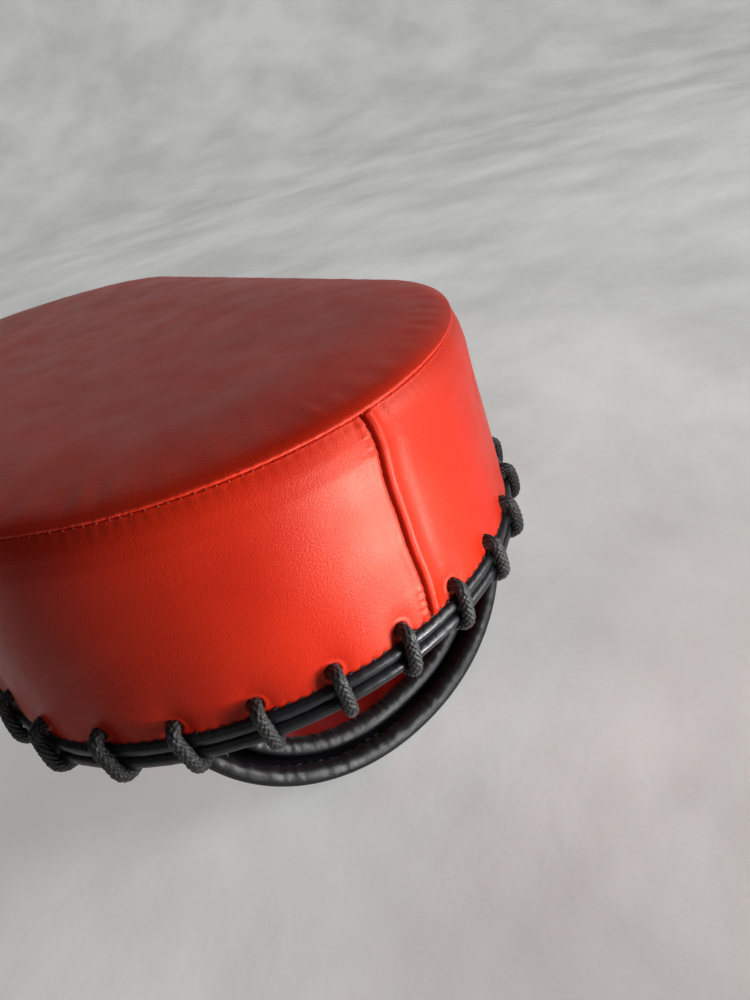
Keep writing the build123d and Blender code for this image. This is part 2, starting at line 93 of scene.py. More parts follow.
def outline(s):
    """Points of the pad's edge and their outward directions, for lengths from the elbow end."""
    s = np.mod(np.asarray(s, float), ROUND)
    flip = s > HALF_ROUND
    t = np.where(flip, ROUND - s, s)
    cx = HALF_W - CORNER_R
    a1 = -pi / 2 + t / CROWN_R
    a2 = -TURN + (t - CROWN_LEN) / CORNER_R
    a4 = (t - CROWN_LEN - CORNER_LEN - 2 * CORNER_Y) / CORNER_R
    a5 = TURN + (t - CROWN_LEN - 2 * CORNER_LEN - 2 * CORNER_Y) / CROWN_R
    zones = [t < CROWN_LEN, t < CROWN_LEN + CORNER_LEN, t < CROWN_LEN + CORNER_LEN + 2 * CORNER_Y,
             t < CROWN_LEN + 2 * CORNER_LEN + 2 * CORNER_Y]
    x = np.select(zones, [CROWN_R * np.cos(a1), cx + CORNER_R * np.cos(a2), HALF_W + 0 * t,
                          cx + CORNER_R * np.cos(a4)], CROWN_R * np.cos(a5))
    y = np.select(zones, [-CROWN_Y + CROWN_R * np.sin(a1), -CORNER_Y + CORNER_R * np.sin(a2),
                          -CORNER_Y + t - CROWN_LEN - CORNER_LEN, CORNER_Y + CORNER_R * np.sin(a4)],
                  CROWN_Y + CROWN_R * np.sin(a5))
    nx = np.select(zones, [np.cos(a1), np.cos(a2), 1 + 0 * t, np.cos(a4)], np.cos(a5))
    ny = np.select(zones, [np.sin(a1), np.sin(a2), 0 * t, np.sin(a4)], np.sin(a5))
    sign = np.where(flip, -1, 1)
    return np.stack([x * sign, y], -1), np.stack([nx * sign, ny], -1)


def around(s, out, z):
    """Points at lengths s round the edge, out from it and at height z (arrays that broadcast)."""
    s, out, z = np.broadcast_arrays(s, out, z)
    p, n = outline(s)
    return np.stack([p[..., 0] + n[..., 0] * out, p[..., 1] + n[..., 1] * out, z], -1)


def waves(seed, points, size, count=14):
    """A smooth random height, about -1 to 1, with features of the given size."""
    rng = np.random.default_rng(seed)
    total = np.zeros(points.shape[:-1])
    for _ in range(count):
        way = rng.normal(size=points.shape[-1])
        way *= rng.uniform(0.6, 1.5) * 2 * pi / size / np.linalg.norm(way)
        total += np.sin(points @ way + rng.uniform(0, 2 * pi))
    return total / sqrt(count)


# ---------------------------------------------------------------- mesh helpers
def new_object(name, mesh, material):
    """Puts a mesh in the scene, smooth and with one material."""
    obj = bpy.data.objects.new(name, mesh)
    bpy.context.scene.collection.objects.link(obj)
    mesh.materials.clear()
    mesh.materials.append(material)
    mesh.polygons.foreach_set("use_smooth", [True] * len(mesh.polygons))
    return obj


def set_value(mesh, name, values):
    """A number per point, for the materials to read."""
    layer = mesh.attributes.new(name=name, type="FLOAT", domain="POINT")
    layer.data.foreach_set("value", np.asarray(values, np.float32).ravel())


def sheet_mesh(name, points, material, wrap_u=False, wrap_v=False, values=None, flip=False):
    """A mesh from a grid of points [u, v, xyz]."""
    nu, nv = points.shape[:2]
    index = np.arange(nu * nv).reshape(nu, nv)
    if wrap_u:
        index = np.concatenate([index, index[:1]], 0)
    if wrap_v:
        index = np.concatenate([index, index[:, :1]], 1)
    quads = np.stack([index[:-1, :-1], index[1:, :-1], index[1:, 1:], index[:-1, 1:]], -1)
    quads = quads.reshape(-1, 4)
    if flip:
        quads = quads[:, ::-1]
    mesh = bpy.data.meshes.new(name)
    mesh.vertices.add(nu * nv)
    mesh.vertices.foreach_set("co", points.reshape(-1).astype(np.float32))
    mesh.loops.add(quads.size)
    mesh.loops.foreach_set("vertex_index", quads.reshape(-1).astype(np.int32))
    mesh.polygons.add(len(quads))
    mesh.polygons.foreach_set("loop_start", np.arange(0, quads.size, 4, dtype=np.int32))
    mesh.update(calc_edges=True)
    for key, data in (values or {}).items():
        set_value(mesh, key, data)
    return new_object(name, mesh, material)


def frames_along(path):
    """Side and up vectors carried along a path without twist."""
    tangent = np.gradient(path, axis=0)
    tangent /= np.linalg.norm(tangent, axis=1, keepdims=True)
    side = np.zeros_like(path)
    first = np.cross(tangent[0], (0, 0, 1.0))
    if np.linalg.norm(first) < 1e-6:
        first = np.cross(tangent[0], (0, 1.0, 0))
    side[0] = first / np.linalg.norm(first)
    for i in range(1, len(path)):
        v = side[i - 1] - tangent[i] * side[i - 1].dot(tangent[i])
        side[i] = v / np.linalg.norm(v)
    return side, np.cross(side, tangent)


def tube_mesh(name, path, radius, material, around_count, values):
    """A tube; its radius is an array [along, around]."""
    side, up = frames_along(path)
    a = np.linspace(0, 2 * pi, around_count, endpoint=False)
    ring = side[:, None] * (np.cos(a)[None, :, None]) + up[:, None] * (np.sin(a)[None, :, None])
    points = path[:, None] + ring * radius[..., None]
    obj = sheet_mesh(name, points, material, wrap_v=True, values=values)
    fill_ends(obj)
    return obj


def fill_ends(obj):
    """Closes every open edge and turns the faces outward."""
    bm = bmesh.new()
    bm.from_mesh(obj.data)
    edges = [e for e in bm.edges if e.is_boundary]
    if edges:
        bmesh.ops.holes_fill(bm, edges=edges, sides=0)
    bmesh.ops.recalc_face_normals(bm, faces=bm.faces)
    bm.to_mesh(obj.data)
    bm.free()
    obj.data.polygons.foreach_set("use_smooth", [True] * len(obj.data.polygons))


def smooth_line(points, step):
    """A cubic B-spline through the neighbourhood of its points, walked in even steps."""
    p = np.asarray(points)
    p = np.concatenate([2 * p[:1] - p[1:2], p, 2 * p[-1:] - p[-2:-1]])
    u = np.linspace(0, 1, 12, endpoint=False)[:, None, None]
    a, b, c, d = p[:-3], p[1:-2], p[2:-1], p[3:]
    fine = ((1 - u)**3 * a + (3 * u**3 - 6 * u**2 + 4) * b + (-3 * u**3 + 3 * u**2 + 3 * u + 1) * c
            + u**3 * d) / 6
    fine = fine.transpose(1, 0, 2).reshape(-1, 3)
    return even(fine, step)


def even(line, step):
    """The same line with points in even steps."""
    gone = np.concatenate([[0], np.cumsum(np.linalg.norm(np.diff(line, axis=0), axis=1))])
    count = max(3, int(gone[-1] / step))
    want = np.linspace(0, gone[-1], count)
    return np.stack([np.interp(want, gone, line[:, k]) for k in range(3)], -1)


# ---------------------------------------------------------------- materials
class Nodes:
    """Short calls for building a material's node tree."""

    def __init__(self, name):
        self.material = bpy.data.materials.new(name)
        self.material.use_nodes = True
        self.tree = self.material.node_tree
        self.shader = self.tree.nodes["Principled BSDF"]
        self.coords = self.add("ShaderNodeTexCoord").outputs["Object"]

    def add(self, kind, **settings):
        node = self.tree.nodes.new(kind)
        for key, value in settings.items():
            setattr(node, key, value)
        return node

    def link(self, out, into):
        self.tree.links.new(out, into)

    def noise(self, scale, detail=2.0, rough=0.5):
        node = self.add("ShaderNodeTexNoise")
        node.inputs["Scale"].default_value = scale
        node.inputs["Detail"].default_value = detail
        node.inputs["Roughness"].default_value = rough
        self.link(self.coords, node.inputs["Vector"])
        return node.outputs["Fac"]

    def cells(self, scale):
        node = self.add("ShaderNodeTexVoronoi", feature="SMOOTH_F1")
        node.inputs["Scale"].default_value = scale
        self.link(self.coords, node.inputs["Vector"])
        return node.outputs["Distance"]

    def spread(self, value, low, high, to_low=0.0, to_high=1.0):
        node = self.add("ShaderNodeMapRange")
        for key, number in (("From Min", low), ("From Max", high), ("To Min", to_low), ("To Max", to_high)):
            node.inputs[key].default_value = number
        self.link(value, node.inputs["Value"])
        return node.outputs["Result"]

    def maths(self, how, a, b):
        node = self.add("ShaderNodeMath", operation=how)
        for socket, value in zip(node.inputs, (a, b)):
            if isinstance(value, (int, float)):
                socket.default_value = value
            else:
                self.link(value, socket)
        return node.outputs[0]

    def value(self, name):
        return self.add("ShaderNodeAttribute", attribute_name=name).outputs["Fac"]

    def blend(self, fac, a, b):
        node = self.add("ShaderNodeMix", data_type="RGBA")
        self.link(fac, node.inputs["Factor"])
        for socket, colour in ((node.inputs["A"], a), (node.inputs["B"], b)):
            if isinstance(colour, tuple):
                socket.default_value = (*colour, 1)
            else:
                self.link(colour, socket)
        return node.outputs["Result"]

    def bump(self, *layers):
        """Layers of (height, distance in metres)."""
        normal = None
        for height, distance in layers:
            node = self.add("ShaderNodeBump")
            node.inputs["Distance"].default_value = distance
            node.inputs["Strength"].default_value = 1.0
            self.link(height, node.inputs["Height"])
            if normal is not None:
                self.link(normal, node.inputs["Normal"])
            normal = node.outputs["Normal"]
        self.link(normal, self.shader.inputs["Normal"])

    def set(self, **numbers):
        for key, number in numbers.items():
            self.shader.inputs[key.replace("_", " ")].default_value = number


def leather(name, light, dark, roughness, grain, values=(), shine=0.4, tint=(1.0, 1.0, 1.0)):
    """Leather: fine pebbled grain and soft colour drift. The value 'dark' darkens it, as painted shade; the
    second point value lightens it: a raw edge, edge wear, and painted highlights on raised rims and ridges.
    """
    n = Nodes(name)
    drift = n.spread(n.noise(22, 3), 0.35, 0.65)
    colour = n.blend(drift, dark, light)
    flecks = n.spread(n.noise(900, 3, 0.6), 0.3, 0.75, 0.0, 0.10)
    colour = n.blend(flecks, colour, tuple(0.55 * c for c in dark))
    # painted shade: the point value 'dark' darkens holes, grooves, tucks and crevices
    if "dark" in values:
        colour = n.blend(n.value("dark"), colour, tuple(0.12 * c for c in dark))
    # painted highlight, with raw edges and edge wear: the second point value lightens the colour
    if "wear_and_painted_highlight" in values:
        worn = n.maths("MULTIPLY", n.value("wear_and_painted_highlight"), n.spread(n.noise(160, 4), 0.35, 0.6))
        colour = n.blend(worn, colour, tuple(min(1, 1.2 * c + 0.02) for c in light))
    n.link(colour, n.shader.inputs["Base Color"])
    rough = n.spread(n.noise(60, 4), 0.3, 0.7, roughness - 0.05, roughness + 0.07)
    n.link(rough, n.shader.inputs["Roughness"])
    pebbles = n.spread(n.cells(2300), 0.0, 0.75)
    creases = n.spread(n.noise(1900, 2, 0.6), 0.3, 0.7)
    n.bump((creases, 0.000022 * grain), (pebbles, 0.00003 * grain))
    n.set(Specular_IOR_Level=shine)
    n.shader.inputs["Specular Tint"].default_value = (*tint, 1)
    return n.material


def fibre(name, light, dark, roughness, scale, shaded=False):
    """Cord, rope or hook tape: matt fibres."""
    n = Nodes(name)
    streak = n.noise(scale, 3, 0.7)
    colour = n.blend(n.spread(streak, 0.3, 0.7), dark, light)
    # painted shade: the point value 'dark' darkens the cord's crevices
    if shaded:
        colour = n.blend(n.value("dark"), colour, tuple(0.25 * c for c in dark))
    n.link(colour, n.shader.inputs["Base Color"])
    n.link(n.spread(n.noise(scale / 3, 2), 0.3, 0.7, roughness - 0.08, roughness + 0.08),
           n.shader.inputs["Roughness"])
    n.bump((streak, 0.00012))
    n.set(Sheen_Weight=0.25, Sheen_Roughness=0.4)
    return n.material


def metal(name, colour, roughness):
    """Plated steel, slightly worn."""
    n = Nodes(name)
    wear_and_painted_highlight = n.noise(300, 4, 0.6)
    n.link(n.blend(n.spread(wear_and_painted_highlight, 0.4, 0.7), colour, tuple(0.82 * c for c in colour)),
           n.shader.inputs["Base Color"])
    n.link(n.spread(wear_and_painted_highlight, 0.3, 0.7, roughness - 0.05, roughness + 0.1), n.shader.inputs["Roughness"])
    n.bump((n.noise(1500, 2), 0.00001))
    n.set(Metallic=1.0)
    return n.material


RED = leather("red_leather", (0.74, 0.026, 0.004), (0.62, 0.017, 0.004), 0.42, grain=1.5,
              values=("dark", "wear_and_painted_highlight"), shine=0.36, tint=(1.0, 0.80, 0.62))
# painted shade: the cuff's lining is the red leather, made darker where it lies in shade inside the cuff
RED_IN_PAINTED_SHADE = leather("red_cuff_leather_painted_shade", (0.34, 0.010, 0.006), (0.24, 0.007, 0.005), 0.5, grain=1.6)
BLACK = leather("black_leather", (0.012, 0.013, 0.016), (0.007, 0.007, 0.009), 0.37, grain=0.8,
                values=("dark", "wear_and_painted_highlight"), shine=0.5)
BLACK_RIM = leather("black_rim_leather", (0.012, 0.013, 0.015), (0.007, 0.007, 0.009), 0.40,
                    grain=0.8, values=("dark", "wear_and_painted_highlight"), shine=0.4)
CORD = fibre("black_cord", (0.028, 0.028, 0.027), (0.008, 0.008, 0.008), 0.45, 2500, shaded=True)
THREAD = fibre("thread", (0.06, 0.055, 0.05), (0.02, 0.02, 0.02), 0.5, 3000)
RED_THREAD = fibre("red_thread", (0.50, 0.10, 0.07), (0.36, 0.05, 0.03), 0.5, 3000)
TAPE = fibre("hook_tape", (0.05, 0.05, 0.055), (0.012, 0.012, 0.014), 0.8, 1800)
FOAM = fibre("foam", (0.24, 0.24, 0.25), (0.15, 0.15, 0.16), 0.85, 700)
ROPE = fibre("rope", (0.5, 0.44, 0.34), (0.3, 0.26, 0.2), 0.8, 900)
STEEL = metal("steel", (0.62, 0.62, 0.64), 0.22)

# ---------------------------------------------------------------- the leather body
# lengths round the edge, closer together at the closing seam
SEAM_REACH = 9 * MM
S = np.concatenate([np.arange(-SEAM_REACH, SEAM_REACH, 0.22 * MM),
                    np.arange(SEAM_REACH, ROUND - SEAM_REACH, 0.62 * MM)])
HOLES = (np.arange(TURNS) + 0.5) * PITCH


def from_hole(s):
    """Lengths counted both ways from the nearest lacing hole."""
    return np.mod(s - HOLES[0] + PITCH / 2, PITCH) - PITCH / 2


def from_end(s):
    """Lengths counted both ways from the middle of the elbow end."""
    return np.mod(s + ROUND / 2, ROUND) - ROUND / 2


def slant_at(s):
    """How far a turn of the cord drifts along the edge on its way down."""
    return SLANT - TAUT * np.exp(-(from_end(s) / TAUT_REACH)**2)


def ring_points(s, *more):
    """Points for random waves that join up all the way round."""
    turn = s * 2 * pi / ROUND
    return np.stack([np.cos(turn) * WAVE_RING, np.sin(turn) * WAVE_RING, *more], -1)


def side_gusset():
    """The red wall: stretched over the foam, pucker-sewn at the top, holed for the cord."""
    t = np.concatenate([np.linspace(0, 0.22, 34)[:-1], np.linspace(0.22, 0.84, 34)[:-1],
                        np.linspace(0.84, 1.0, 26)])
    z = EDGE_Z - 2.2 * MM + t * (WALL + 2.2 * MM)
    h = np.clip((z - EDGE_Z) / WALL, 0, 1)
    lean = np.interp(h, [0, 0.31, 0.62, 0.84, 0.92, 0.965, 1.0], [0, -1.75, -3.0, -3.9, -4.9, -6.0, -7.4])
    lean = np.convolve(np.pad(lean, 2, mode="edge"), np.ones(5) / 5, "valid") * MM
    # its top edge turns in under the face
    turned = np.linspace(0, 1, 11)[1:]
    z = np.concatenate([z, z[-1] + 0.75 * MM * np.sin(turned * pi / 2)])
    h = np.concatenate([h, np.ones(10)])
    lean = np.concatenate([lean, lean[-1] - 5 * MM * turned])
    hidden = np.concatenate([np.zeros(len(t)), np.clip((turned - 0.15) / 0.2, 0, 1)])[:, None]
    s, zz = np.meshgrid(S, z)
    _, hh = np.meshgrid(S, h)
    out = np.repeat(lean[:, None], len(S), 1)
    ringed = ring_points(s, zz)
    # leather drawn over foam: slow swells, and soft dents between the lacing holes
    middle = np.sin(pi * np.clip(hh, 0, 1))
    out += 0.45 * MM * middle * waves(3, ringed, 0.085)
    out += 0.10 * MM * middle * waves(4, ringed, 0.03)
    # puckers where the top seam gathers the wall
    top = np.exp(-((1 - hh) * WALL / (3.2 * MM))**2)
    out += top * 0.10 * MM * (np.abs(np.sin(pi * s / STITCH)) - 0.6)
    # the closing seam: a stitched groove with the leather rounding over on both sides
    wander = 0.35 * MM * np.sin(zz / (9 * MM)) + 0.25 * MM * np.sin(zz / (3.7 * MM) + 1)
    d = from_end(s) - wander
    saw = np.mod(zz / (2.9 * MM), 1)
    tooth = -0.55 * MM * saw
    fade = np.clip(hh / 0.02, 0, 1)
    beside = np.clip(np.abs(d - tooth / 2) - np.abs(tooth) / 2 - 0.2 * MM, 0, 1)
    groove = np.exp(-(beside / (0.34 * MM))**2)
    out += fade * (-1.5 * MM * groove)
    out += fade * 0.95 * MM * np.exp(-((d - 2.4 * MM) / (1.7 * MM))**2)
    out += fade * 0.45 * MM * np.exp(-((d + 2.2 * MM) / (1.8 * MM))**2) * (1 - 0.5 * saw)
    out -= fade * 0.3 * MM * np.exp(-((d - 7.5 * MM) / (2.6 * MM))**2)
    # lacing holes: punched, with the leather pulled in and its rim raised
    ds, dz = from_hole(s), zz - HOLE_Z
    r = np.hypot(ds, dz)
    hole = np.clip((2.45 * MM - r) / (0.5 * MM), 0, 1)
    out -= hole * 2.0 * MM
    out -= 0.9 * MM * np.exp(-(r / (5.5 * MM))**2)
    out += 0.28 * MM * np.exp(-((r - 2.9 * MM) / (0.6 * MM))**2) * (dz > -2.5 * MM)
    pull = np.exp(-(np.hypot(ds * 1.5, dz - 6 * MM) / (8 * MM))**2)
    out -= 0.25 * MM * pull
    # the wall tucks in behind the upper binding
    foot = np.exp(-np.clip(zz - EDGE_Z, 0, 1) / (1.0 * MM))
    scallop = np.abs(np.sin(pi * s / (ROUND / EDGE_COUNT)))**0.5
    out -= foot * (0.85 - 0.6 * scallop) * MM
    # painted shade: darker in the lacing holes, the seam groove, the tucks behind the upper binding, the
    # turned-in top edge and the strip at the binding
    dark = np.clip(hole + 0.75 * fade * groove + 0.5 * foot * (1 - scallop) + hidden
                   + 0.5 * (zz < EDGE_Z + 0.5 * MM), 0, 1)
    # painted highlight: the lightening value on the raised rim round each hole and on the raised strip
    # beside the closing seam
    wear_and_painted_highlight = np.exp(-((r - 3.0 * MM) / (0.7 * MM))**2)
    wear_and_painted_highlight += 0.6 * fade * np.exp(-((d - 2.4 * MM) / (1.2 * MM))**2)
    points = around(s, out, zz)
    return sheet_mesh("side_gusset_leather", points, RED, wrap_v=True,
                      values={"dark": dark, "wear_and_painted_highlight": np.clip(wear_and_painted_highlight, 0, 1)}, flip=True)


def face_panel():
    """The face: crowned, its edge turned down to a fine ridge along the seam."""
    lip = INSET + 0.4 * MM
    rows = 30
    roll = np.linspace(0, 1, rows)
    steps = [0, 0.07, 0.13, 0.2, 0.27, 0.35, 0.45, 0.55, 0.68, 0.84, 1.0]
    ro = np.interp(roll, steps, [-7, -2.2, -0.5, 0.35, 0.55, 0.45, 0.05, -0.6, -1.8, -3.8, -6.5])
    rz = np.interp(roll, steps, [-0.3, -0.25, -0.1, 0.2, 0.65, 1.1, 1.55, 2.05, 2.85, 3.75, 4.5])
    blur = (0.25, 0.5, 0.25)
    ro = -lip + np.convolve(np.pad(ro, 1, mode="edge"), blur, "valid") * MM
    rz = SEAM_Z + np.convolve(np.pad(rz, 1, mode="edge"), blur, "valid") * MM
    b = np.linspace(0, 1, 34)[1:]
    bo = ro[-1] + (-lip - 38 * MM - ro[-1]) * b
    rise = 1 - (1 - b)**2.2
    bz = rz[-1] + (TOP_Z - 0.2 * MM - rz[-1]) * rise
    s, out = np.meshgrid(S, np.concatenate([ro, bo]))
    zz = np.repeat(np.concatenate([rz, bz])[:, None], len(S), 1)
    far = np.concatenate([np.zeros(rows), b])[:, None]
    ringed = around(s, out, zz)
    edge = np.repeat(np.concatenate([1 - roll, 0 * b])[:, None], len(S), 1)
    crest = np.exp(-((1 - edge - 0.27) / 0.13)**2)
    pucker = crest * 0.10 * MM * (np.abs(np.sin(pi * s / STITCH + 0.9)) - 0.6)
    pucker += 0.09 * MM * crest * waves(12, np.stack([s, out * 0.1], -1), 0.0011)
    outer = around(s, out + pucker + edge * 0.3 * MM * waves(9, ringed, 0.05), zz)
    outer[..., 2] += far * 0.22 * MM * waves(7, ringed, 0.05) * (1 - far)
    # gathers that run in from the seam at the rounded ends
    gather = np.exp(-((out - bo[0]) / (5 * MM))**2)
    outer[..., 2] += 0.12 * MM * gather * waves(11, np.stack([s, out * 0.15], -1), 0.011)
    last = outer[-1]
    spine = np.clip(last[:, 1], -(HALF_L - HALF_W) * 0.95, (HALF_L - HALF_W) * 0.95)
    k = np.linspace(1, 0.02, 26)[1:, None, None]
    mid = np.stack([0 * spine, spine, last[:, 2]], -1)[None]
    inner = mid + (last[None] - mid) * k
    inner[..., 2] = last[None, :, 2] + 0.28 * MM * (1 - k[..., 0]) * waves(8, inner, 0.09)
    points = np.concatenate([outer, inner])
    # painted shade on the first rows of the roll, where it tucks into the seam; edge wear and painted
    # highlight along the roll's ridge
    dark = 0 * points[..., 2]
    dark[:4] = 1.0
    dark[4] = 0.4
    wear_and_painted_highlight = np.exp(-((np.arange(len(points)) - 8) / 2.5)**2)[:, None] + dark * 0
    wear_and_painted_highlight[len(outer):] = 0
    obj = sheet_mesh("face_panel_leather", points, RED, wrap_v=True,
                     values={"dark": dark, "wear_and_painted_highlight": wear_and_painted_highlight})
    fill_ends(obj)
    return obj


def binding(name, z, seed, raw_edge):
    """A bound edge: leather folded round it, pulled tight by stitches, pressed in by the cord."""
    a = np.linspace(0, 2 * pi, 28, endpoint=False)
    s, aa = np.meshgrid(S, a)
    r = BEAD_R * (1 + 0.03 * np.cos(2 * aa))
    r += 0.08 * MM * waves(seed, ring_points(s), 0.02)
    r += 0.035 * MM * waves(seed + 1, np.stack([s, aa * 0.8 * MM], -1), 0.0045)
    r -= 0.12 * MM * np.exp(-(np.mod(s, STITCH) / STITCH - 0.5)**2 / 0.01) * (np.sin(aa) > 0.5)
    under_cord = from_hole(s - 0.45 * slant_at(s))
    r -= 0.35 * MM * np.exp(-(under_cord / (2.6 * MM))**2) * np.clip(np.cos(aa), 0, 1)
    out = BEAD_OUT - BEAD_R + r * np.cos(aa)
    zz = z + r * np.sin(aa)
    points = around(s, out, zz)
    raw = np.exp(-((aa - 1.62 * pi) / 0.10)**2) * raw_edge
    # painted shade: darker on the top and bottom of the bead, where it meets the other bead and the wall
    shade = np.clip(1 - np.abs(np.cos(aa)) * 1.8, 0, 1) * 0.3
    return sheet_mesh(name, points, BLACK, wrap_u=True, wrap_v=True, values={"dark": shade, "wear_and_painted_highlight": raw})


def lace():
    """The braided cord, out of each hole, down over both bindings and up through the back."""
    under = LOW_BEAD_Z - BEAD_R - CORD_R + 1.2 * MM
    over = BEAD_OUT + CORD_R - 0.35 * MM
    turn = [(-LACE_IN, HOLE_Z - 4 * MM, 0.0), (-LACE_IN + 1 * MM, HOLE_Z - 0.4 * MM, 0.0),
            (-2.4 * MM, HOLE_Z + 0.5 * MM, 0.0), (0.6 * MM, HOLE_Z + 0.6 * MM, 0.01),
            (2.9 * MM, HOLE_Z - 0.9 * MM, 0.06), (3.0 * MM, HOLE_Z - 4.4 * MM, 0.2),
            (over + 0.1 * MM, TOP_BEAD_Z + 0.6 * MM, 0.38), (over + 0.2 * MM, LOW_BEAD_Z + 1.5 * MM, 0.58),
            (over + 0.1 * MM, LOW_BEAD_Z - 1.4 * MM, 0.72), (over - 1.7 * MM, under + 0.4 * MM, 0.86),
            (-0.5 * MM, under - 0.3 * MM, 0.93), (-4.4 * MM, under - 0.1 * MM, 1.0),
            (-LACE_IN - 0.2 * MM, under + 1.6 * MM, 1.0), (-LACE_IN, BACK_Z + 2 * MM, 1.0),
            (-LACE_IN, BACK_Z + 6 * MM, 1.3)]
    path = []
    half = TURNS // 2 + 1
    for i, s in enumerate(list(HOLES[half:]) + list(HOLES[:half])):
        jitter = 0.3 * MM * sin(2.3 * i)
        for out, z, along in turn:
            path.append(around(s + along * (slant_at(s) + jitter), out, z))
    step = 0.34 * MM
    line = smooth_line(np.array(path), step)
    gone = np.arange(len(line)) * step
    count = 48
    a = np.linspace(0, 2 * pi, count, endpoint=False)
    g, aa = np.meshgrid(gone, a, indexing="ij")
    # strands wound both ways, each passing over and under the ones it meets
    lay = 17.0 * MM
    strands = 8
    left = strands * (aa / (2 * pi) - g / lay)
    right = strands * (aa / (2 * pi) + g / lay)
    above = np.mod(np.floor(left) + np.floor(right), 2) < 1
    f_left = 2 * np.mod(left, 1) - 1
    f_right = 2 * np.mod(right, 1) - 1
    over_strand, under_strand = np.where(above, f_left, f_right), np.where(above, f_right, f_left)
    braid = np.clip(1 - 0.95 * over_strand**2 - 0.30 * under_strand**2, 0, 1)
    fuzz = 0.03 * MM * waves(21, np.stack([g, aa * CORD_R], -1), 0.0011)
    radius = CORD_R - 0.42 * MM + 0.52 * MM * braid + fuzz
    # painted shade: the point value 'dark' darkens the crevices between the strands
    return tube_mesh("lacing_cord_braid", line, radius, CORD, count,
                     values={"dark": np.clip(1 - 1.6 * braid, 0, 1)})


def stitches(name, starts, ends, outs, radius, material):
    """A row of thread stitches, each a short rounded tube lying on the leather."""
    starts, ends, outs = (np.asarray(v) for v in (starts, ends, outs))
    n, sides = len(starts), 6
    along = np.array([0.0, 0.12, 0.35, 0.65, 0.88, 1.0])
    lift = np.array([-0.9, 0.1, 0.55, 0.55, 0.1, -0.9])
    way = ends - starts
    across = np.cross(way, outs)
    across /= np.linalg.norm(across, axis=1, keepdims=True)
    a = np.linspace(0, 2 * pi, sides, endpoint=False)
    verts = []
    for k, (f, l) in enumerate(zip(along, lift)):
        thick = radius * (0.75 if k in (0, 5) else 1.0)
        centre = starts + way * f + outs * radius * l
        for b in a:
            verts.append(centre + across * thick * cos(b) + outs * thick * sin(b))
    verts = np.stack(verts, 1).reshape(n, len(along), sides, 3)
    index = np.arange(n * len(along) * sides).reshape(n, len(along), sides)
    closed = np.concatenate([index, index[..., :1]], -1)
    quads = np.stack([closed[:, :-1, :-1], closed[:, 1:, :-1], closed[:, 1:, 1:], closed[:, :-1, 1:]], -1)
    mesh = bpy.data.meshes.new(name)
    mesh.from_pydata(verts.reshape(-1, 3).tolist(), [], quads.reshape(-1, 4).tolist())
    obj = new_object(name, mesh, material)
    fill_ends(obj)
    return obj


def edge_stitches():
    """The thread that holds the upper binding, just above it on the red wall."""
    s = np.arange(EDGE_COUNT) * ROUND / EDGE_COUNT
    s = s[np.abs(from_hole(s)) > 3.6 * MM]
    z = EDGE_Z - 0.1 * MM
    a = around(s - 0.9 * MM, -0.5 * MM, z)
    b = around(s + 0.9 * MM, -0.5 * MM, z + 0.2 * MM)
    _, n = outline(s)
    outs = np.concatenate([n, np.zeros((len(n), 1))], 1)
    return stitches("edge_stitches", a, b, outs, 0.18 * MM, THREAD)


def seam_stitches():
    """Short loops of thread that show where the face is sewn to the wall."""
    count = int(ROUND / (3.4 * MM))
    s = np.arange(count) * ROUND / count + 0.4 * MM * np.sin(np.arange(count) * 1.7)
    a = around(s, -INSET - 0.10 * MM, SEAM_Z - 0.45 * MM)
    b = around(s + 0.3 * MM, -INSET + 0.15 * MM, SEAM_Z + 0.35 * MM)
    _, n = outline(s)
    outs = np.concatenate([n, np.full((len(n), 1), 0.35)], 1)
    outs /= np.linalg.norm(outs, axis=1, keepdims=True)
    return stitches("seam_stitches", a, b, outs, 0.13 * MM, RED_THREAD)


# ---------------------------------------------------------------- softened copies of CAD pieces
def softened(name, node, material, voxel=0.9 * MM, passes=4, swell=0.0, wrinkle=0.0, size=0.01, seed=1,
             place=None):
    """A leather piece grown from its CAD solid: corners eased, sides filled, surface creased."""
    obj = bpy.data.objects.new(name, frame["nodes"][node].data.copy())
    bpy.context.scene.collection.objects.link(obj)
    remesh = obj.modifiers.new("even", "REMESH")
    remesh.mode = "VOXEL"
    remesh.voxel_size = voxel
    ease = obj.modifiers.new("ease", "SMOOTH")
    ease.factor = 0.6
    ease.iterations = passes
    depsgraph = bpy.context.evaluated_depsgraph_get()
    done = bpy.data.meshes.new_from_object(obj.evaluated_get(depsgraph))
    obj.modifiers.clear()
    obj.data = done
    done.name = name
    count = len(done.vertices)
    co = np.empty(count * 3, np.float32)
    normal = np.empty(count * 3, np.float32)
    done.vertices.foreach_get("co", co)
    done.vertices.foreach_get("normal", normal)
    co, normal = co.reshape(-1, 3).astype(float), normal.reshape(-1, 3).astype(float)
    if place is not None:
        co = place(co)
    move = np.full(count, swell)
    if wrinkle:
        move = move + wrinkle * waves(seed, co, size)
    co += normal * move[:, None]
    done.vertices.foreach_set("co", co.astype(np.float32).ravel())
    done.materials.clear()
    done.materials.append(material)
    done.polygons.foreach_set("use_smooth", [True] * len(done.polygons))
    done.update()
    set_value(done, "dark", np.zeros(count))
    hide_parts(node)
    return obj


# The straps' centre lines as the CAD bends them, and the ovals that the leather really takes.
BAND_LINE = [(0.0253, 0.003), (0.0599, 0.0203), (0.0714, 0.0487)]
CUFF_LINE = [(0.0235, 0.0079), (0.0505, 0.0225), (0.0594, 0.0448)]
BENDS = (0.042, 0.024)
BAND_OVAL = (0.0745, 0.0558, 2.05)
CUFF_OVAL = (0.0640, 0.0506, 2.2)


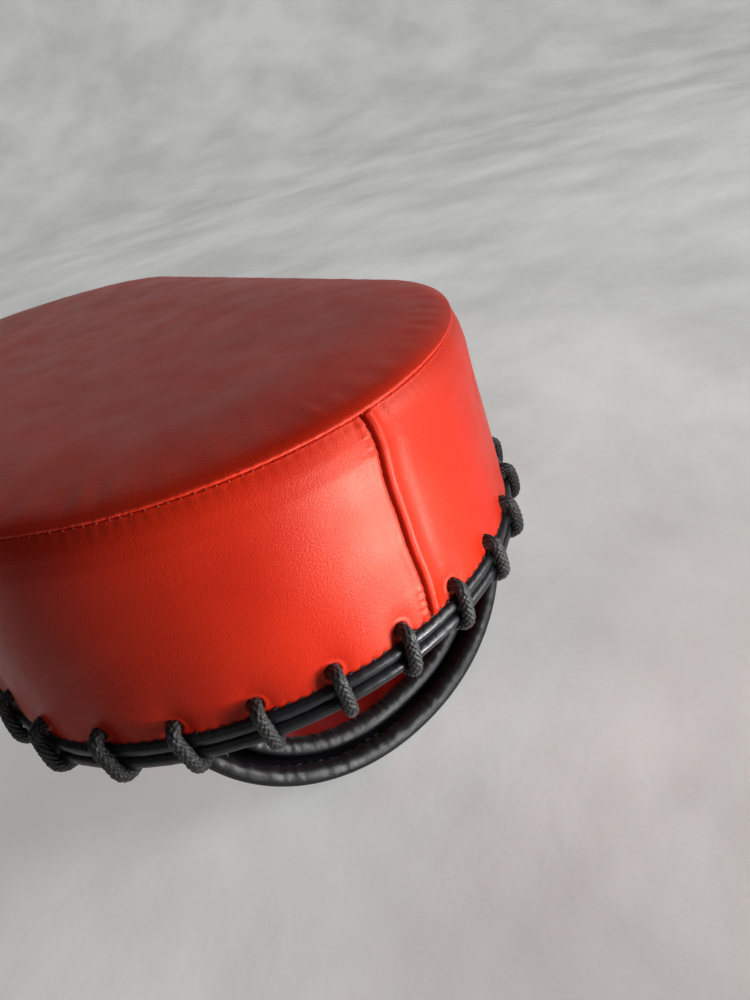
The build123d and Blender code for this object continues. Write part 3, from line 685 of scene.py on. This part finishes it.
def bent(points, radii):
    """Half of a strap's line from the middle of its bottom, its corners rounded."""
    corners = [np.array([0, points[0][1]])] + [np.array(v) for v in points]
    line = [corners[0]]
    for k, r in zip(range(1, len(corners) - 1), radii):
        a, b, c = corners[k - 1:k + 2]
        u, v = (a - b) / np.linalg.norm(a - b), (c - b) / np.linalg.norm(c - b)
        half = np.arccos(np.clip(-u @ v, -1, 1)) / 2
        tangent = r * np.tan(half)
        middle = b + (u + v) / np.linalg.norm(u + v) * r / np.cos(half)
        for f in np.linspace(0, 1, 12):
            point = (b + u * tangent) * (1 - f) + (b + v * tangent) * f - middle
            line.append(middle + point / np.linalg.norm(point) * r)
    line.append(corners[-1])
    return np.array(line)


def reach(angle, oval):
    """How far a strap's oval lies from the middle of the pad's edge, by angle from straight down."""
    wide, deep, power = oval
    return (np.abs(np.sin(angle) / wide)**power + np.abs(np.cos(angle) / deep)**power)**(-1 / power)


def rounder(points, oval, forward=None):
    """Moves a strap's points out from its bent line onto its oval."""
    line = bent(points, BENDS)
    ends = [np.linspace(a, b, 14, endpoint=False) for a, b in zip(line[:-1], line[1:])]
    line = np.concatenate(ends + [line[-1:]])
    angle = np.arctan2(line[:, 0], EDGE_Z - line[:, 1])
    radius = np.hypot(line[:, 0], EDGE_Z - line[:, 1])

    def place(co):
        x, z = np.abs(co[:, 0]), co[:, 2]
        a = np.arctan2(x, EDGE_Z - z)
        now = np.interp(a, angle, radius)
        want = reach(a, oval)
        fade = np.clip((0.036 - z) / 0.012, 0, 1) * np.clip((x - 0.003) / 0.006, 0, 1)
        k = 1 + (want / now - 1) * fade
        co = co.copy()
        co[:, 0] *= k
        co[:, 2] = EDGE_Z - (EDGE_Z - co[:, 2]) * k
        if forward:
            ahead = np.clip((co[:, 1].mean() - co[:, 1]) / 0.02, 0, 1)
            co[:, 1] -= forward * ahead * np.clip((0.044 - co[:, 2]) / 0.012, 0, 1)
        return co

    return place


bodies = {name: set(nodes) for name, nodes in record["behaviour"]["bodies"].items()}


def body_with(node):
    """The moving body that a CAD node belongs to."""
    return next(name for name, nodes in bodies.items() if node in nodes)


def dress(obj, node):
    """Sends a piece with its node's body."""
    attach(obj, body_with(node))


gusset = side_gusset()
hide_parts("side_gusset")
dress(gusset, "side_gusset")
face = face_panel()
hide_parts("face_panel")
dress(face, "face_panel")
for piece_name, node, *how in (("upper_binding", "gusset_binding", TOP_BEAD_Z, 31, False),
                               ("lower_binding", "back_binding", LOW_BEAD_Z, 41, True)):
    bead = binding(piece_name, *how)
    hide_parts(node)
    dress(bead, node)
cord = lace()
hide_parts("lacing_cord")
dress(cord, "lacing_cord")
thread = edge_stitches()
dress(thread, "side_gusset")
loops = seam_stitches()
dress(loops, "side_gusset")

back = softened("back_leather", "back_panel", RED, voxel=1.0 * MM, passes=2, wrinkle=0.12 * MM, size=0.03)
dress(back, "back_panel")

CUFF_FORWARD = 3.5 * MM  # how far the cuff's front leans out of the strap
STRAP_SLOPE = {"near": 0.45, "mid": 0.0}  # the near strap leans towards the elbow end


def rim(strap, piece, edge, oval, thick, bend, seed):
    """A bound rim: a thick roll of thin leather, gathered on its inner side where it curves."""
    node = f"{strap}_{piece}_{edge}_edge"
    lo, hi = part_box(node)
    slope = STRAP_SLOPE[strap]
    wide = 5.6 * MM
    y_low = lo[1] if edge == "front" else hi[1] - slope * (hi[2] - lo[2]) - wide
    phi = np.linspace(bend[0], bend[1], 520)
    x, up = reach(phi, oval) * np.sin(phi), reach(phi, oval) * np.cos(phi)
    normal = -np.stack([np.gradient(up), np.gradient(x)], -1)
    normal /= np.linalg.norm(normal, axis=1, keepdims=True)
    gone = np.concatenate([[0], np.cumsum(np.hypot(np.diff(x), np.diff(up)))])
    a = np.linspace(0, 2 * pi, 40, endpoint=False)
    g, aa = np.meshgrid(gone, a, indexing="ij")
    n_part = np.sign(np.cos(aa)) * np.abs(np.cos(aa))**0.8 * thick / 2
    y_part = np.sign(np.sin(aa)) * np.abs(np.sin(aa))**0.8 * wide / 2
    ring = 0.75 * MM
    fold = waves(seed, np.stack([g, ring * np.cos(aa), ring * np.sin(aa)], -1), 3.4 * MM)
    small = waves(seed + 1, np.stack([g, thick * np.cos(aa), wide * np.sin(aa)], -1), 2.2 * MM)
    inward = np.clip(0.45 - 0.55 * np.cos(aa), 0.06, 1)
    bump = (0.17 * MM * fold + 0.05 * MM * small) * inward
    n_part = n_part + np.cos(aa) * bump
    y_part = y_part + np.sin(aa) * bump
    px = x[:, None] + normal[:, :1] * n_part
    pz = (EDGE_Z - up)[:, None] + normal[:, 1:] * n_part
    pz = np.maximum(pz, 0.0)
    py = y_low + wide / 2 + y_part + slope * (pz - lo[2])
    if piece == "cuff" and edge == "front":
        py = py - CUFF_FORWARD * np.clip((0.044 - pz) / 0.012, 0, 1)
    obj = sheet_mesh(f"{strap}_{piece}_{edge}_rim", np.stack([px, py, pz], -1), BLACK_RIM, wrap_v=True,
                     values={"dark": 0 * g, "wear_and_painted_highlight": 0 * g})
    fill_ends(obj)
    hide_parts(node)
    dress(obj, node)


for strap in ("near", "mid"):
    for edge, seed in (("front", 61), ("rear", 71)):
        rim(strap, "cuff", edge, CUFF_OVAL, 5.2 * MM, (-1.30, 1.30), seed)
        rim(strap, "band", edge, BAND_OVAL, 5.4 * MM, (-1.31, 1.14), seed + 4)
BAND_PLACE = rounder(BAND_LINE, BAND_OVAL)
CUFF_PLACE = rounder(CUFF_LINE, CUFF_OVAL, CUFF_FORWARD)
STRAP_PIECES = (
    ("cuff", RED_IN_PAINTED_SHADE, "red_leather", CUFF_PLACE, dict(wrinkle=0.25 * MM, size=0.013, seed=51)),
    ("band", BLACK, "black_leather", BAND_PLACE, dict(wrinkle=0.12 * MM, size=0.02, seed=53)),
    ("ring_tab", BLACK, "black_leather", None, dict(voxel=0.6 * MM, wrinkle=0.08 * MM, size=0.008)),
    # the tongue and the flap are a little thinner, so that they clear each other when it peels
    ("tongue", BLACK, "black_leather", None, dict(voxel=0.5 * MM, passes=3, swell=-0.3 * MM)),
    ("flap", BLACK, "black_leather", BAND_PLACE,
     dict(voxel=0.6 * MM, wrinkle=0.03 * MM, size=0.012, swell=-0.3 * MM)),
    ("hook_patch", TAPE, "hook_and_loop", BAND_PLACE,
     dict(voxel=0.5 * MM, passes=2, wrinkle=0.06 * MM, size=0.0015)),
    ("loop_patch", TAPE, "hook_and_loop", BAND_PLACE,
     dict(voxel=0.5 * MM, passes=2, wrinkle=0.09 * MM, size=0.0018)))
soft = {}
for strap in ("near", "mid"):
    for name, material, slot, place, options in STRAP_PIECES:
        node = f"{strap}_{name}"
        piece = softened(f"{node}_soft", node, material, place=place, **options)
        dress(piece, node)
        soft[node] = piece

for node, options in (("grip_cover", dict(voxel=0.8 * MM, wrinkle=0.18 * MM, size=0.012)),
                      ("grip_anchor_left", dict(voxel=0.6 * MM, wrinkle=0.06 * MM, size=0.01)),
                      ("grip_anchor_right", dict(voxel=0.6 * MM, wrinkle=0.06 * MM, size=0.01))):
    piece = softened(f"{node}_soft", node, BLACK, **options)
    dress(piece, node)
    soft[node] = piece


# ---------------------------------------------------------------- stitching
def tree_of(obj):
    co = [v.co.copy() for v in obj.data.vertices]
    return BVHTree.FromPolygons(co, [list(p.vertices) for p in obj.data.polygons])


def sewn(name, obj, starts, ways, node):
    """A row of stitches where rays from the starts meet a piece."""
    pitch, long, thick = 3.9 * MM, 2.652 * MM, 0.33 * MM
    tree = tree_of(obj)
    hits, outs = [], []
    for start, way in zip(starts, ways):
        place, normal, _, _ = tree.ray_cast(Vector(start), Vector(way).normalized(), 0.2)
        if place is None:
            continue
        if normal.dot(Vector(way)) > 0:
            normal = -normal
        hits.append(np.array(place))
        outs.append(np.array(normal))
    hits, outs = np.array(hits), np.array(outs)
    gaps = np.linalg.norm(np.diff(hits, axis=0), axis=1)
    gone = np.concatenate([[0], np.cumsum(gaps)])
    count = int(gone[-1] / pitch)
    begin = np.arange(count) * pitch
    jump = np.interp(begin + pitch / 2, gone[1:], gaps)
    begin = begin[jump < 2.5 * MM]

    def at_lengths(values, want):
        return np.stack([np.interp(want, gone, values[:, k]) for k in range(3)], -1)

    a, b = at_lengths(hits, begin), at_lengths(hits, begin + long)
    n = at_lengths(outs, begin + long / 2)
    n /= np.linalg.norm(n, axis=1, keepdims=True)
    row = stitches(name, a + n * 0.06 * MM, b + n * 0.06 * MM, n, thick, THREAD)
    dress(row, node)


def strap_rows(strap):
    """Thread beside each bound rim of the band, on its outside."""
    slope = STRAP_SLOPE[strap]
    bend = np.linspace(-1.32, 1.32, 420)
    for edge in ("front", "rear"):
        lo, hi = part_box(f"{strap}_band_{edge}_edge")
        far = hi[1] - slope * (hi[2] - lo[2])
        y_low = lo[1] + 6.6 * MM if edge == "front" else far - 6.6 * MM
        ways = np.stack([np.sin(bend), -slope * np.cos(bend), -np.cos(bend)], -1)
        starts = np.array([0, y_low + slope * (EDGE_Z - lo[2]), EDGE_Z]) + ways * 0.002
        sewn(f"{strap}_band_{edge}_stitches", soft[f"{strap}_band"], starts, ways, f"{strap}_band")


def flap_rows(strap):
    """Two rows down the flap."""
    slope = STRAP_SLOPE[strap]
    lo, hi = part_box(f"{strap}_flap")
    width = hi[1] - lo[1] - slope * (hi[2] - lo[2])
    heights = np.linspace(hi[2] - 4 * MM, lo[2] + 0.5 * MM, 160)
    x = np.interp(heights, [lo[2], hi[2]], [lo[0], hi[0]]) + 0.02
    ways = np.tile([-0.75, 0.0, 0.66], (len(heights), 1))
    for side, shift in (("front", 2.6 * MM), ("rear", width - 2.6 * MM)):
        y = lo[1] + shift + slope * (heights - lo[2])
        starts = np.stack([x, y, heights - 0.018], -1)
        sewn(f"{strap}_flap_{side}_stitches", soft[f"{strap}_flap"], starts, ways, f"{strap}_flap")


def anchor_rows(side):
    """A rectangle of stitches round each grip anchor."""
    node = f"grip_anchor_{side}"
    lo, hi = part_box(node)
    m = 3 * MM
    x0, x1, y0, y1 = lo[0] + m, hi[0] - m, lo[1] + m, hi[1] - m
    for tag, a, b in (("a", (x0, y0), (x1, y0)), ("b", (x1, y0), (x1, y1)),
                      ("c", (x1, y1), (x0, y1)), ("d", (x0, y1), (x0, y0))):
        f = np.linspace(0, 1, 60)[:, None]
        line = np.array(a) * (1 - f) + np.array(b) * f
        starts = np.concatenate([line, np.full((60, 1), lo[2] - 0.01)], 1)
        sewn(f"{node}_stitches_{tag}", soft[node], starts, np.tile([0, 0, 1.0], (60, 1)), node)


for strap in ("near", "mid"):
    strap_rows(strap)
    flap_rows(strap)
for side in ("left", "right"):
    anchor_rows(side)

# rigid pieces and the stuffing stay as the CAD has them, in their own materials
for node, material in (("near_ring", STEEL), ("mid_ring", STEEL), ("grip_rivets", STEEL),
                       ("grip_washers", STEEL), ("grip_core", ROPE), ("face_foam", FOAM),
                       ("core_foam", FOAM), ("back_foam", FOAM)):
    for slot in frame["nodes"][node].material_slots:
        slot.material = material


# ---------------------------------------------------------------- stage, lights and camera
STAGE_TURN = -0.65  # turns the backdrop to face the camera


def stage_material():
    """Pale cloth, partly bright of itself to the camera, so that it still takes the shadow."""
    n = Nodes("backdrop")
    # painted fold shade: noise that makes the cloth's colour and glow lighter and darker in broad folds
    painted_fold_shade = n.spread(n.noise(5, 4, 0.55), 0.36, 0.64)
    n.link(n.blend(painted_fold_shade, (0.64, 0.64, 0.63), (0.77, 0.77, 0.755)), n.shader.inputs["Base Color"])
    n.set(Roughness=1.0, Specular_IOR_Level=0.0)
    n.bump((n.noise(7, 3, 0.5), 0.007), (n.noise(60, 4, 0.6), 0.0004))
    rays = n.add("ShaderNodeLightPath").outputs
    seen = n.maths("MAXIMUM", rays["Is Camera Ray"], rays["Is Glossy Ray"])
    n.shader.inputs["Emission Color"].default_value = (0.96, 0.96, 0.93, 1)
    glow = n.maths("ADD", n.maths("MULTIPLY", painted_fold_shade, 0.08), 0.30)
    n.link(n.maths("MULTIPLY", seen, glow), n.shader.inputs["Emission Strength"])
    # from underneath it can be seen through
    back = n.add("ShaderNodeNewGeometry").outputs["Backfacing"]
    clear = n.add("ShaderNodeBsdfTransparent")
    mix = n.add("ShaderNodeMixShader")
    end = next(node for node in n.tree.nodes if node.type == "OUTPUT_MATERIAL")
    for out, into in zip((back, n.shader.outputs[0], clear.outputs[0]), mix.inputs):
        n.link(out, into)
    n.link(mix.outputs[0], end.inputs["Surface"])
    return n.material


def studio():
    """A pale floor that runs up into a backdrop."""
    u = np.linspace(-4, 4, 9)
    flat = np.linspace(-3, 1.6, 12)
    turn = np.linspace(0, pi / 2, 14)[1:]
    y = np.concatenate([flat, 1.6 + 1.2 * np.sin(turn), [2.8]])
    z = np.concatenate([0 * flat, 1.2 - 1.2 * np.cos(turn), [4.5]]) - 0.0004
    points = np.zeros((9, len(y), 3))
    points[..., 0], points[..., 1], points[..., 2] = u[:, None], y, z
    c, s = cos(STAGE_TURN), sin(STAGE_TURN)
    turned = points @ np.array([[c, s, 0], [-s, c, 0], [0, 0, 1]])
    sheet_mesh("studio", turned, stage_material())


studio()


def area_light(name, place, target, size, power):
    """A soft lamp that the camera doesn't see."""
    light = bpy.data.lights.new(name, "AREA")
    light.shape = "RECTANGLE"
    light.size, light.size_y = size
    light.energy = power
    obj = bpy.data.objects.new(name, light)
    obj.location = place
    obj.rotation_euler = (Vector(target) - Vector(place)).to_track_quat("-Z", "Y").to_euler()
    obj.visible_camera = False
    bpy.context.scene.collection.objects.link(obj)
    return light


area_light("key", (1.35, -1.60, 0.50), (0, -0.05, 0.08), (1.0, 0.7), 25)
area_light("fill", (-1.3, -0.9, 1.3), (0, 0, 0.08), (1.2, 1.2), 1.0)
area_light("top", (0.2, 1.1, 1.9), (0, 0.2, 0.1), (1.6, 1.0), 2)
kicker = area_light("kicker", (0.055, -0.335, 0.026), (-0.015, -0.176, 0.095), (0.06, 0.06), 0.105)
kicker.spread = radians(75)
world = bpy.data.worlds.new("studio")
bpy.context.scene.world = world
world.use_nodes = True
sky = world.node_tree.nodes["Background"]
sky.inputs["Color"].default_value = (0.9, 0.92, 0.95, 1)
sky.inputs["Strength"].default_value = 0.05

lens = bpy.data.cameras.new("camera")
lens.lens = 28.157
lens.sensor_width = 36
lens.clip_start = 0.01
camera = bpy.data.objects.new("camera", lens)
camera.location = (-0.1199, -0.3265, 0.2107)
camera.rotation_euler = Euler((radians(59.974), radians(14.186), radians(-44.45)))
bpy.context.scene.collection.objects.link(camera)
bpy.context.scene.camera = camera
bpy.context.scene.view_settings.view_transform = "Standard"
